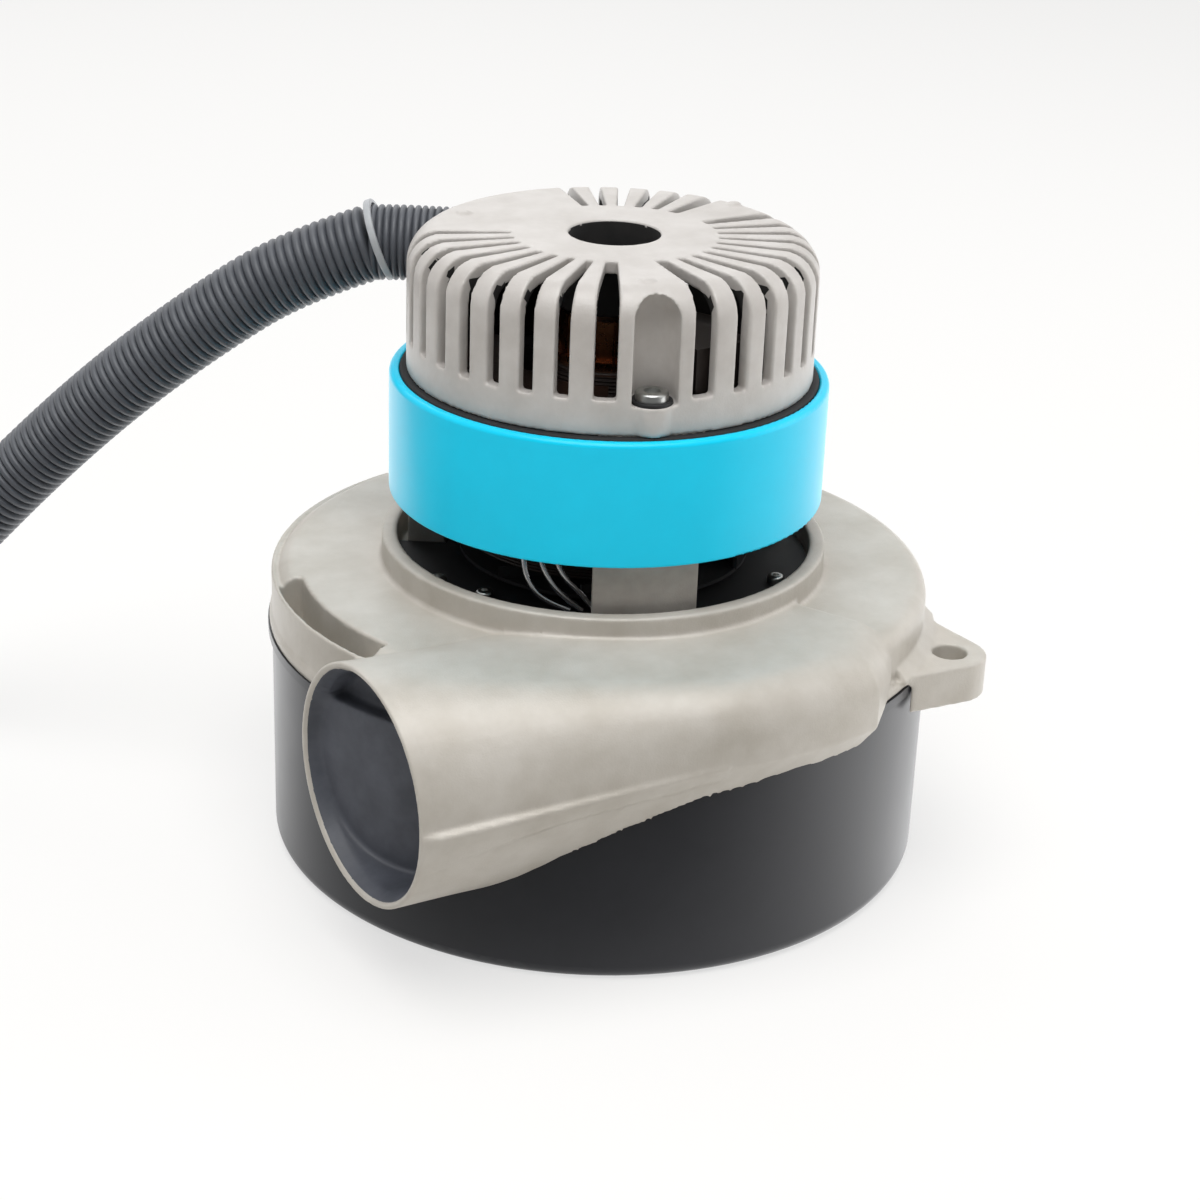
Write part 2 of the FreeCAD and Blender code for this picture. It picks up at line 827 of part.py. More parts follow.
def slot_cutters():
    cuts = []
    for index, bolt in enumerate(bolt_angles):
        for offset in slot_offsets:
            half = (wide_slot_angle if offset == slot_offsets[0] else slot_angle) / 2
            for side in (-offset, offset):
                if (index, side) not in plain_slots:
                    cuts.append(wedge(slot_inner, dome_radius + OVER, bolt + side - half,
                                      bolt + side + half, slot_bottom, dome_top + OVER))
    return group(cuts)


def bolt_pocket():
    # Round well over the bolt's head, open to the dome's side under an arch
    half = pocket_width / 2
    side = pocket_bottom + pocket_height - half
    well = cylinder(half, pocket_bottom, side, bolt_circle).fuse(
        Part.makeSphere(half, V(bolt_circle, 0, side)))
    points = [V(bolt_circle, -half, pocket_bottom), V(bolt_circle, half, pocket_bottom),
              V(bolt_circle, half, side), V(bolt_circle, 0, side + half),
              V(bolt_circle, -half, side)]
    edges = [Part.makeLine(points[4], points[0]), Part.makeLine(points[0], points[1]),
             Part.makeLine(points[1], points[2]),
             Part.Arc(points[2], points[3], points[4]).toShape()]
    window = Part.Face(Part.Wire(edges)).extrude(V(bolt_inset + OVER, 0, 0))
    return well.fuse(window)


def dome_cover():
    inner_radius = dome_radius - dome_wall
    inner_top = dome_top - dome_wall
    shell = revolved([
        (0, dome_bottom), (dome_radius, dome_bottom), (dome_radius, dome_top, dome_round),
        (0, dome_top),
    ])
    envelope = shell.copy()
    shell = shell.cut(revolved([
        (0, dome_bottom - OVER), (inner_radius, dome_bottom - OVER),
        (inner_radius, inner_top, dome_round - dome_wall / 2), (0, inner_top),
    ]))
    shell = shell.cut(slot_cutters())
    parts = [shell]
    for angle in bolt_angles:
        place = polar(bolt_circle, angle)
        boss = cylinder(boss_radius, dome_bottom, dome_top - OVER, place.x, place.y)
        parts.append(boss.common(envelope))
        parts.append(cylinder(pocket_width / 2, dome_bottom, pocket_bottom, place.x, place.y))
    hub_low = upper_bearing_z - OVER
    parts.append(cylinder(dome_hub, hub_low, dome_top - OVER))
    parts.append(gland_boss().common(envelope))
    shape = fused(parts)
    # Bearing seat below a ledge, open at the top
    ledge = upper_bearing_z + upper_bearing[2]
    shape = shape.cut(cylinder(upper_bearing[1] / 2 + SEAT / 2, hub_low - OVER, ledge))
    shape = shape.cut(cylinder(ledge_hole / 2, hub_low - OVER, dome_top + OVER))
    shape = shape.cut(cylinder(dome_hole / 2, ledge + ledge_wall, dome_top + OVER))
    for angle in bolt_angles:
        place = polar(bolt_circle, angle)
        shape = shape.cut(turned(bolt_pocket(), angle))
        shape = shape.cut(cylinder(bolt_size / 2 + GAP, dome_bottom - OVER, pocket_bottom + OVER,
                                   place.x, place.y))
    return shape.cut(gland_bore())


# Conduit entry in the dome's side

gland_direction = polar(1, gland_axis)
gland_side = polar(1, gland_axis - 90)


def gland_place(distance):
    # A point on the entry's axis, measured along it from the plane of the shaft
    place = gland_direction * distance + gland_side * gland_offset
    return V(place.x, place.y, gland_z)


def gland_boss():
    length = gland_out - gland_in
    return Part.makeCylinder(gland_radius, length, gland_place(gland_in), gland_direction)


def gland_bore():
    return Part.makeCylinder(conduit_radius + SEAT, gland_out - gland_in + 2 * OVER,
                             gland_place(gland_in - OVER), gland_direction)


# Fasteners

def through_bolts():
    bolts = []
    for angle in bolt_angles:
        place = polar(bolt_circle, angle)
        low = dome_bottom - bolt_grip
        head_low = pocket_bottom
        shank = cylinder(bolt_size / 2 - RUN, low, head_low, place.x, place.y)
        head = cylinder(bolt_head / 2, head_low, head_low + bolt_head_height, place.x, place.y)
        socket = hexagon(bolt_socket, head_low + bolt_socket_floor,
                         head_low + bolt_head_height + OVER)
        socket.translate(V(place.x, place.y, 0))
        bolts.append(shank.fuse(head).cut(socket))
    return group(bolts)


# Band, liner and wave washer

def cooling_band():
    return revolved([(band_inner, band_bottom), (band_outer, band_bottom, 0.8),
                     (band_outer, band_top, 1.4), (band_inner, band_top, 0.6)])


def band_liner():
    inner = post_outer + SEAT
    return ring(inner, band_inner - SEAT, band_bottom + liner_drop, band_top - liner_drop)


def wave_washer():
    outer = upper_bearing[1] / 2 - 2 * SEAT
    return ring(outer - washer_width, outer, upper_bearing_z - washer_sheet, upper_bearing_z - RUN)


# Conduit

def rounded_path(points):
    # Straight runs joined by tangent arcs, as large as the runs allow
    vectors = [V(*point) for point in points]
    edges = []
    radii = []
    last = vectors[0]
    for before, corner, after in zip(vectors, vectors[1:], vectors[2:]):
        come = (corner - before).normalize()
        go = (after - corner).normalize()
        shorter = min((corner - before).Length, (after - corner).Length)
        turn = come.getAngle(go)
        reach = 0.45 * shorter
        radius = reach / math.tan(turn / 2)
        radii.append(radius)
        first = corner - come * reach
        second = corner + go * reach
        towards = (go - come).normalize()
        centre = corner + towards * (radius / math.cos(turn / 2))
        middle = centre - towards * radius
        edges.append(Part.makeLine(last, first))
        edges.append(Part.Arc(first, middle, second).toShape())
        last = second
    edges.append(Part.makeLine(last, vectors[-1]))
    return Part.Wire(edges), radii


def conduit():
    path, radii = rounded_path(conduit_route)
    start = V(*conduit_route[0])
    heading = (V(*conduit_route[1]) - start).normalize()
    circle = Part.Wire(Part.makeCircle(conduit_radius, start, heading))
    pipe = path.makePipeShell([circle], True, True)
    expected = math.pi * conduit_radius ** 2 * path.Length
    print("conduit radii", [round(radius) for radius in radii])
    print("conduit length", round(path.Length, 1), "volume over section times length",
          round(pipe.Volume / expected, 4))
    return pipe


def boot():
    # Short bent sleeve from the dome to the conduit
    end = V(*conduit_route[0])
    heading = (V(*conduit_route[1]) - end).normalize()
    start = gland_place(gland_in + 2.0)
    turn = gland_direction.getAngle(heading)
    meet = end - heading * 5.0
    bend_in = gland_place((meet - gland_place(0)).dot(gland_direction) - 5.0)
    middle = bend_in + gland_direction * 5.0
    reach = 4.8
    radius = reach / math.tan(turn / 2)
    first = middle - gland_direction * reach
    second = middle + heading * reach
    towards = (heading - gland_direction).normalize()
    centre = middle + towards * (radius / math.cos(turn / 2))
    arc = Part.Arc(first, centre - towards * radius, second).toShape()
    wire = Part.Wire([Part.makeLine(start, first), arc, Part.makeLine(second, end)])
    circle = Part.Wire(Part.makeCircle(conduit_radius, start, gland_direction))
    return wire.makePipeShell([circle], True, True)


def conduit_tie():
    start = V(*conduit_route[0])
    heading = (V(*conduit_route[1]) - start).normalize()
    inner = conduit_radius + SEAT
    band = ring(inner, inner + tie_wall, -tie_width / 2, tie_width / 2)
    length, width, extra = tie_head
    tall = tie_width + extra
    head = Part.makeBox(length, width, tall, V(inner + tie_wall / 2, -width / 2, -tall / 2))
    head = turned(head, tie_head_turn)
    return along(band.fuse(head), start + heading * tie_distance, heading)


def end_place():
    tip = V(*conduit_route[-1])
    heading = (tip - V(*conduit_route[-2])).normalize()
    flat = V(heading.x, heading.y, 0).normalize()
    return tip, flat


def conduit_fitting():
    tip, heading = end_place()
    end = fitting_length + nipple_length
    body = revolved([(0, 0), (fitting_radius - fitting_edge, 0), (fitting_radius, fitting_edge),
                     (fitting_radius, fitting_length - fitting_edge),
                     (fitting_radius - fitting_edge, fitting_length),
                     (nipple_radius, fitting_length), (nipple_radius, end - fitting_edge),
                     (nipple_radius - fitting_edge, end), (0, end)])
    grip = cylinder(fitting_grip_radius, 2 * fitting_edge, fitting_length / 2,
                    fitting_radius + fitting_grip_radius / 3)
    for k in range(fitting_grips):
        body = body.cut(turned(grip, k * 360.0 / fitting_grips))
    return along(body, tip, heading)


def conduit_locknut():
    tip, heading = end_place()
    low = fitting_length + locknut_width
    rim = locknut_radius - fitting_edge
    nut = ring(nipple_radius + RUN, rim, low, low + locknut_width)
    lug = wedge(rim - OVER, locknut_radius, -9, 9, low, low + locknut_width)
    lugs = [turned(lug, k * 360.0 / locknut_lugs) for k in range(locknut_lugs)]
    return along(fused([nut] + lugs), tip, heading)


def build():
    nodes = {
        "fan_shell": fan_shell(),
        "scroll_casting": scroll_casting(),
        "motor_posts": motor_posts(),
        "motor_baffle": motor_baffle(),
        "impeller_lower": wheel(wheel_bottom, stage_one_width),
        "impeller_upper": wheel(wheel_two_low, stage_two_width),
        "return_plate": return_plate(),
        "plate_ring": return_clip(),
        "spacer_middle": spacer(wheel_one_top, wheel_two_top - wheel_sheet),
        "spacer_upper": spacer(wheel_two_top, bearing_low),
        "fan_washer": fan_washer(),
        "fan_nut": fan_nut(),
        "shaft": shaft(),
        "lower_bearing_outer": bearing_outer(lower_bearing, bearing_low),
        "lower_bearing_inner": bearing_inner(lower_bearing, bearing_low),
        "upper_bearing_outer": bearing_outer(upper_bearing, upper_bearing_z),
        "upper_bearing_inner": bearing_inner(upper_bearing, upper_bearing_z),
        "wave_washer": wave_washer(),
        "cooling_fan": cooling_fan(),
        "stator_core": stator_core(),
        "field_coils": group([field_coil(0), field_coil(180)]),
        "armature_core": armature_core(),
        "armature_winding": armature_winding(),
        "commutator": commutator(),
        "brush_ring": brush_ring(),
        "dome_cover": dome_cover(),
        "through_bolts": through_bolts(),
        "cooling_band": cooling_band(),
        "band_liner": band_liner(),
        "conduit_boot": boot(),
        "conduit_tie": conduit_tie(),
        "conduit": conduit(),
        "conduit_fitting": conduit_fitting(),
        "conduit_locknut": conduit_locknut(),
    }
    for side, angle in brush_turns.items():
        nodes["brush_holder_" + side] = turned(brush_holder(), angle)
        nodes["brush_tube_" + side] = turned(brush_tube(), angle)
        nodes["brush_" + side] = turned(brush(), angle)
        nodes["brush_spring_" + side] = turned(brush_spring(), angle)
    return nodes


os.makedirs("parts", exist_ok=True)
for name, shape in build().items():
    shape.exportStep("parts/" + name + ".step")
    box_now = shape.BoundBox
    print(name, "solids", len(shape.Solids), "valid", shape.isValid(), "volume",
          round(shape.Volume), "z", round(box_now.ZMin, 2), round(box_now.ZMax, 2))
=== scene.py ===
import bpy
import math
import numpy as np
from mathutils import Matrix, Vector
from mathutils.bvhtree import BVHTree


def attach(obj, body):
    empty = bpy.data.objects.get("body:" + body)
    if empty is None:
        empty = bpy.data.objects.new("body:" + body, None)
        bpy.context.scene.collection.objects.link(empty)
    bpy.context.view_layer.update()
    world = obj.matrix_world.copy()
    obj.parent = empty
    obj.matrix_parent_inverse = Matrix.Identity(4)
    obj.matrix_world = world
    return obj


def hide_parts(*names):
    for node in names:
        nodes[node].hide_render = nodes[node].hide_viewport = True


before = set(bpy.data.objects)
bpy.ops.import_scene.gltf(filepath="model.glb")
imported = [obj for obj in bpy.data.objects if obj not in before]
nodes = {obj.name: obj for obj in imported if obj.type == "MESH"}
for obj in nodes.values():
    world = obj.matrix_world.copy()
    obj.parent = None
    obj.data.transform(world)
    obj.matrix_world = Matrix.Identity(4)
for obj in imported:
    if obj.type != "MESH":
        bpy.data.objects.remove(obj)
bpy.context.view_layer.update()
mm = 0.001
origin = Vector((0, 0, 0))
up = Vector((0, 0, 1))
print("frame loaded:", len(nodes), "nodes")


# Small helpers

def deselect():
    bpy.ops.object.select_all(action="DESELECT")


def pick(piece):
    deselect()
    piece.select_set(True)
    bpy.context.view_layer.objects.active = piece


def applyModifiers(piece):
    pick(piece)
    for name in [m.name for m in piece.modifiers]:
        bpy.ops.object.modifier_apply(modifier=name)


def modifier(piece, kind, **settings):
    made = piece.modifiers.new(kind.title(), kind)
    for key, value in settings.items():
        setattr(made, key, value)
    return made


def smooth(piece, degrees=35):
    pick(piece)
    bpy.ops.object.shade_smooth_by_angle(angle=math.radians(degrees))


def polar(radius, degrees, z=0.0):
    # Millimetres and degrees in, metres out
    angle = math.radians(degrees)
    return Vector((radius * math.cos(angle), radius * math.sin(angle), z)) * mm


def profileMesh(name, points, closed=True):
    # An outline of (radius, height) in the XZ plane, in millimetres
    mesh = bpy.data.meshes.new(name)
    corners = [(r * mm, 0, z * mm) for r, z in points]
    count = len(corners)
    edges = [(i, (i + 1) % count) for i in range(count if closed else count - 1)]
    mesh.from_pydata(corners, edges, [])
    piece = bpy.data.objects.new(name, mesh)
    bpy.context.scene.collection.objects.link(piece)
    return piece


def turn(name, points, steps=128, closed=True, angles=None):
    # Spins an outline round Z, evenly or by a list of angles in degrees
    piece = profileMesh(name, points, closed)
    pick(piece)
    bpy.ops.object.mode_set(mode="EDIT")
    bpy.ops.mesh.select_all(action="SELECT")
    if angles is None:
        bpy.ops.mesh.spin(steps=steps, angle=math.tau, center=origin, axis=up)
    else:
        for gap in angles:
            bpy.ops.mesh.spin(steps=1, angle=math.radians(gap), center=origin, axis=up)
    bpy.ops.mesh.select_all(action="SELECT")
    bpy.ops.mesh.remove_doubles(threshold=0.00001)
    bpy.ops.mesh.normals_make_consistent(inside=False)
    bpy.ops.object.mode_set(mode="OBJECT")
    return piece


def rounded(points, segments=4):
    # Rounds the corners that carry a third value, their radius
    out = []
    count = len(points)
    for i, point in enumerate(points):
        if len(point) == 2:
            out.append(point)
            continue
        here = Vector(point[:2])
        before = (Vector(points[i - 1][:2]) - here).normalized()
        after = (Vector(points[(i + 1) % count][:2]) - here).normalized()
        half = before.angle(after) / 2
        reach = point[2] / math.tan(half)
        centre = here + (before + after).normalized() * (point[2] / math.sin(half))
        first = here + before * reach - centre
        last = here + after * reach - centre
        for k in range(segments + 1):
            spot = first.slerp(last, k / segments, first) if k not in (0, segments) else (
                first if k == 0 else last)
            out.append(tuple(centre + spot.normalized() * point[2]))
    return out


def linear(text):
    # sRGB hex to the linear colour that a shader takes
    values = [int(text[i:i + 2], 16) / 255 for i in (1, 3, 5)]
    return [v / 12.92 if v <= 0.04045 else ((v + 0.055) / 1.055) ** 2.4 for v in values] + [1.0]


# Materials

def addNode(tree, kind, values=None, links=None, **settings):
    made = tree.nodes.new(kind)
    for key, value in settings.items():
        setattr(made, key, value)
    for key, value in (values or {}).items():
        made.inputs[key].default_value = value
    for key, (source, output) in (links or {}).items():
        tree.links.new(source.outputs[output], made.inputs[key])
    return made


def finish(name, light, dark, grain, mottle, bump, **shader):
    # A surface whose colour drifts between two tones, with a fine grain in its relief.
    # grain and mottle are sizes in millimetres, bump is the relief's height in millimetres
    material = bpy.data.materials.new(name)
    material.use_nodes = True
    tree = material.node_tree
    tree.nodes.clear()
    place = addNode(tree, "ShaderNodeTexCoord")
    coarse = addNode(tree, "ShaderNodeTexNoise", {"Scale": 1 / (mottle * mm), "Detail": 4.0,
                                                  "Roughness": 0.6},
                     {"Vector": (place, "Object")})
    fine = addNode(tree, "ShaderNodeTexNoise", {"Scale": 1 / (grain * mm), "Detail": 3.0,
                                                "Roughness": 0.55},
                   {"Vector": (place, "Object")})
    ramp = addNode(tree, "ShaderNodeValToRGB", links={"Fac": (coarse, "Fac")})
    ramp.color_ramp.elements[0].position = 0.32
    ramp.color_ramp.elements[0].color = linear(dark)
    ramp.color_ramp.elements[1].position = 0.68
    ramp.color_ramp.elements[1].color = linear(light)
    rough = shader.pop("Roughness", 0.5)
    spread = shader.pop("spread", 0.06)
    gloss = addNode(tree, "ShaderNodeMapRange", {"To Min": rough - spread, "To Max": rough + spread},
                    {"Value": (coarse, "Fac")})
    relief = addNode(tree, "ShaderNodeBump", {"Strength": 1.0, "Distance": bump * mm},
                     {"Height": (fine, "Fac")})
    surface = addNode(tree, "ShaderNodeBsdfPrincipled", shader,
                      {"Base Color": (ramp, "Color"), "Roughness": (gloss, "Result"),
                       "Normal": (relief, "Normal")})
    addNode(tree, "ShaderNodeOutputMaterial", links={"Surface": (surface, "BSDF")})
    return material


def lined(name, light, dark, pitch, bump, **shader):
    # A surface with fine level lines: laminations, wound wire, turning marks. pitch is in millimetres
    material = finish(name, light, dark, 0.6, 6.0, bump * 0.3, **shader)
    tree = material.node_tree
    place = tree.nodes["Texture Coordinate"]
    lines = addNode(tree, "ShaderNodeTexWave", {"Scale": math.tau / (20 * pitch * mm),
                                                "Distortion": 0.6, "Detail": 2.0},
                    {"Vector": (place, "Object")}, wave_type="BANDS", bands_direction="Z")
    relief = addNode(tree, "ShaderNodeBump", {"Strength": 1.0, "Distance": bump * mm},
                     {"Height": (lines, "Fac"), "Normal": (tree.nodes["Bump"], "Normal")})
    surface = tree.nodes["Principled BSDF"]
    tree.links.new(relief.outputs["Normal"], surface.inputs["Normal"])
    return material


# Shot-blasted die-cast aluminium: dull, warm grey, with a fine sparkle and faint mottling
castAlloy = finish("DieCastAluminium", "#C6C1B9", "#B6B0A6", 0.5, 17.0, 0.06, Metallic=0.12,
                   Roughness=0.47, spread=0.05)
# The cover's castings are tumbled a little smoother than the scroll
coverAlloy = finish("TumbledCastAluminium", "#C9C5C1", "#BAB5B0", 0.5, 12.0, 0.05, Metallic=0.05,
                    Roughness=0.44, spread=0.05)
# The posts are the scroll's alloy, painted darker for the shade that the band casts on them
shadedPostAlloy = finish("ShadedPostAluminium", "#A9A49E", "#98928B", 0.5, 9.0, 0.06, Metallic=0.15,
                   Roughness=0.55)
# Inside of the cover: the same casting, painted dark and dull as the shade behind the ribs and in the hub
shadedInsideAlloy = finish("ShadedInsideAluminium", "#2B2928", "#1C1B1B", 0.8, 9.0, 0.03, Metallic=0.2,
                    Roughness=0.7)
# Inside of the horn: a blue-grey that is partly enamel on the wall beside the shell and partly painted
# shade over the rest of the throat and duct
throatEnamelAndShade = finish("ThroatEnamelAndShade", "#565962", "#484B53", 0.7, 8.0, 0.02, Metallic=0.0,
                      Roughness=0.5)
# Baked satin enamel on drawn steel: near black with a soft sheen
shellEnamel = finish("SatinBlackEnamel", "#1C1D23", "#17181E", 0.9, 14.0, 0.008, Metallic=0.0,
                     Roughness=0.36, spread=0.03)
# Injection moulded polypropylene, bright cyan, lightly glossy
bandPlastic = finish("CyanPolypropylene", "#02D8FE", "#02D3F9", 1.2, 20.0, 0.006, Metallic=0.0,
                     Roughness=0.34, spread=0.03, **{"Specular IOR Level": 0.3})
# Extruded neoprene: black and dull
linerRubber = finish("BlackNeoprene", "#1A1A1C", "#121214", 0.5, 6.0, 0.02, Roughness=0.75)
# Corrugated PVC conduit: dark slate grey with a soft shine on each ring
conduitVinyl = finish("SlateVinyl", "#54575D", "#484B51", 0.7, 8.0, 0.02, Roughness=0.45)
bootRubber = finish("MouldedRubber", "#2A2B2F", "#212226", 0.5, 6.0, 0.02, Roughness=0.6)
# Nylon tie: pale grey, slightly waxy
tieNylon = finish("GreyNylon", "#B4B7BA", "#A4A7AA", 0.6, 6.0, 0.01, Roughness=0.45)
fittingNylon = finish("BlackNylon", "#2C2D30", "#232427", 0.6, 6.0, 0.02, Roughness=0.5)
# Copper wire under dark varnish, wound in close turns 0.9 mm apart
coilWire = lined("VarnishedCopper", "#2C1E17", "#1D1410", 0.9, 0.25, Metallic=0.3, Roughness=0.45)
# Stacked electrical steel under dark varnish; sheets of 0.65 mm show as lines
laminations = lined("VarnishedLaminations", "#4A4A4C", "#38383A", 0.65, 0.08, Metallic=0.7,
                    Roughness=0.5)
copperBars = finish("TurnedCopper", "#C88A62", "#B67A54", 0.3, 4.0, 0.01, Metallic=1.0, Roughness=0.28)
phenolic = finish("MouldedPhenolic", "#2E2723", "#221C19", 0.6, 5.0, 0.02, Roughness=0.5)
holderBrass = finish("DrawnBrass", "#C9A767", "#B8954F", 0.4, 6.0, 0.01, Metallic=1.0, Roughness=0.3)
carbon = finish("SinteredCarbon", "#2B2B2C", "#1E1E1F", 0.3, 2.0, 0.03, Metallic=0.2, Roughness=0.55)
# Turned steel: bright with fine rings 0.4 mm apart, drawn coarser than real so that they show
turnedSteel = lined("TurnedSteel", "#B9BABC", "#A4A5A8", 0.4, 0.01, Metallic=1.0, Roughness=0.28)
bearingSteel = finish("GroundBearingSteel", "#C6C7C9", "#B4B5B8", 0.4, 5.0, 0.004, Metallic=1.0,
                      Roughness=0.2)
zincPlate = finish("ZincPlatedSteel", "#C3C4C1", "#A9ABA9", 0.4, 4.0, 0.01, Metallic=1.0, Roughness=0.32)
# Baffle plate, cooling fan and screw washers: nearly black, dull; the black is partly their own and partly
# painted shade under the band and in the cover's pockets
blackAndShade = finish("NearBlackAndShade", "#1B1B1D", "#131315", 0.6, 5.0, 0.02, Roughness=0.62)
# Tinned copper leads: bright and slightly uneven
leadTin = finish("TinnedCopper", "#D8D9DB", "#BFC1C4", 0.4, 3.0, 0.01, Metallic=1.0, Roughness=0.22)
wheelSheet = finish("RolledAluminiumSheet", "#C4C6C9", "#B2B4B8", 0.8, 10.0, 0.01, Metallic=1.0,
                    Roughness=0.33)
plateSteel = finish("GalvanisedSheet", "#A9ACAE", "#8E9193", 1.5, 5.0, 0.01, Metallic=0.95, Roughness=0.4)
springWire = finish("MusicWire", "#B0B0B0", "#9C9C9C", 0.3, 3.0, 0.005, Metallic=1.0, Roughness=0.3)

nodeFinish = {
    "fan_shell": shellEnamel, "scroll_casting": castAlloy, "dome_cover": coverAlloy,
    "impeller_lower": wheelSheet, "impeller_upper": wheelSheet, "cooling_fan": blackAndShade,
    "return_plate": plateSteel, "plate_ring": plateSteel, "spacer_middle": turnedSteel,
    "spacer_upper": turnedSteel, "shaft": turnedSteel, "fan_washer": zincPlate,
    "fan_nut": zincPlate, "through_bolts": zincPlate, "lower_bearing_outer": bearingSteel,
    "lower_bearing_inner": bearingSteel, "upper_bearing_outer": bearingSteel,
    "upper_bearing_inner": bearingSteel, "wave_washer": springWire,
    "stator_core": laminations, "armature_core": laminations, "field_coils": coilWire,
    "armature_winding": coilWire, "commutator": copperBars, "brush_ring": phenolic,
    "brush_holder_left": phenolic, "brush_holder_right": phenolic,
    "brush_tube_left": holderBrass, "brush_tube_right": holderBrass, "brush_left": carbon,
    "brush_right": carbon, "brush_spring_left": springWire, "brush_spring_right": springWire,
    "cooling_band": bandPlastic, "band_liner": linerRubber, "conduit_boot": bootRubber,
    "conduit_tie": tieNylon, "conduit": conduitVinyl, "conduit_fitting": fittingNylon,
    "conduit_locknut": zincPlate, "motor_posts": shadedPostAlloy, "motor_baffle": blackAndShade,
}
for name, material in nodeFinish.items():
    nodes[name].data.materials.clear()
    nodes[name].data.materials.append(material)
print("materials ready:", len(bpy.data.materials))


def stands(piece, node, body="housing", material=None):
    # The piece takes a node's place, finish and slot
    piece.data.materials.clear()
    piece.data.materials.append(material or nodeFinish[node])
    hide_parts(node)
    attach(piece, body)


# Camera, solved from the circles in the photograph

cameraView = {"place": (-0.3588, -0.5340, 0.35028), "aim": (-0.0002, 0.0001, 0.0672),
              "roll": 2.16, "lens": 75.16}
cameraData = bpy.data.cameras.new("camera")
camera = bpy.data.objects.new("camera", cameraData)
bpy.context.scene.collection.objects.link(camera)
place = Vector(cameraView["place"])
aimed = (Vector(cameraView["aim"]) - place).to_track_quat("-Z", "Y").to_matrix().to_4x4()
rolled = aimed @ Matrix.Rotation(math.radians(cameraView["roll"]), 4, "Z")
camera.matrix_world = Matrix.Translation(place) @ rolled
cameraData.lens = cameraView["lens"]
cameraData.clip_start = 0.01
cameraData.clip_end = 50
bpy.context.scene.camera = camera

# Conduit: corrugated hose on one smooth route, its last stretch and its tie

conduitRoute = [
    (-0.0389, 0.0623, 0.1595), (-0.0571, 0.0745, 0.1515), (-0.0768, 0.0883, 0.1355),
    (-0.0978, 0.1055, 0.1140), (-0.1182, 0.1252, 0.0870), (-0.1393, 0.1406, 0.0590),
    (-0.1624, 0.1519, 0.0370), (-0.1911, 0.1585, 0.0210), (-0.2241, 0.1578, 0.0124),
    (-0.2568, 0.1485, 0.0108), (-0.2860, 0.1320, 0.0112), (-0.3100, 0.1107, 0.0145),
    (-0.3275, 0.0863, 0.0145),
]
hose = {"radius": 10.5, "valley": 9.3, "pitch": 2.45, "around": 28}


def splineCurve(name, route):
    curve = bpy.data.curves.new(name, "CURVE")
    curve.dimensions = "3D"
    spline = curve.splines.new("NURBS")
    spline.points.add(len(route) - 1)
    for point, where in zip(spline.points, route):
        point.co = (*where, 1.0)
    spline.order_u = 3
    spline.use_endpoint_u = True
    spline.resolution_u = 24
    piece = bpy.data.objects.new(name, curve)
    bpy.context.scene.collection.objects.link(piece)
    return piece


def splinePoints(piece):
    bpy.context.view_layer.update()
    mesh = bpy.data.meshes.new_from_object(piece.evaluated_get(
        bpy.context.evaluated_depsgraph_get()))
    points = [tuple(v.co) for v in mesh.vertices]
    bpy.data.meshes.remove(mesh)
    return points


def pathLength(points):
    return sum((Vector(b) - Vector(a)).length for a, b in zip(points, points[1:]))


def ringedTube(name, line, length, size):
    # Rings are spun round X and then laid along the line by a Curve modifier
    count = max(2, round(length / mm / size["pitch"]))
    pitch = length / mm / count
    outline = [(0.0, 0.0)]
    for k in range(count):
        start = k * pitch
        for part, level in ((0.0, 0.0), (0.18, 0.75), (0.36, 1.0), (0.62, 1.0), (0.8, 0.75)):
            reach = size["valley"] + (size["radius"] - size["valley"]) * level
            outline.append((start + part * pitch, reach))
    outline.append((length / mm, size["valley"]))
    outline.append((length / mm, 0.0))
    mesh = bpy.data.meshes.new(name)
    mesh.from_pydata([(x * mm, 0, r * mm) for x, r in outline],
                     [(i, i + 1) for i in range(len(outline) - 1)], [])
    piece = bpy.data.objects.new(name, mesh)
    bpy.context.scene.collection.objects.link(piece)
    pick(piece)
    bpy.ops.object.mode_set(mode="EDIT")
    bpy.ops.mesh.select_all(action="SELECT")
    bpy.ops.mesh.spin(steps=size["around"], angle=math.tau, center=origin, axis=(1, 0, 0))
    bpy.ops.mesh.select_all(action="SELECT")
    bpy.ops.mesh.remove_doubles(threshold=0.00001)
    bpy.ops.mesh.normals_make_consistent(inside=False)
    bpy.ops.object.mode_set(mode="OBJECT")
    modifier(piece, "CURVE", object=line, deform_axis="POS_X")
    applyModifiers(piece)
    smooth(piece, 60)
    return piece


hoseLine = splineCurve("hoseLine", conduitRoute)
hosePath = splinePoints(hoseLine)
hoseLength = pathLength(hosePath)
conduitHose = ringedTube("conduitHose", hoseLine, hoseLength, hose)
bpy.data.objects.remove(hoseLine)
stands(conduitHose, "conduit")

# The last stretch of hose, from the tie into the motor cover
entryRoute = [
    (-0.0148, 0.0461, 0.1596), (-0.0240, 0.0523, 0.1596), (-0.0322, 0.0578, 0.1598),
    (-0.0389, 0.0623, 0.1595),
]
entryHose = {"radius": 10.4, "valley": 9.4, "pitch": 1.9, "around": 40}
entryLine = splineCurve("entryLine", entryRoute)
hoseEntry = ringedTube("hoseEntry", entryLine, pathLength(splinePoints(entryLine)), entryHose)
bpy.data.objects.remove(entryLine)
stands(hoseEntry, "conduit_boot", material=conduitVinyl)

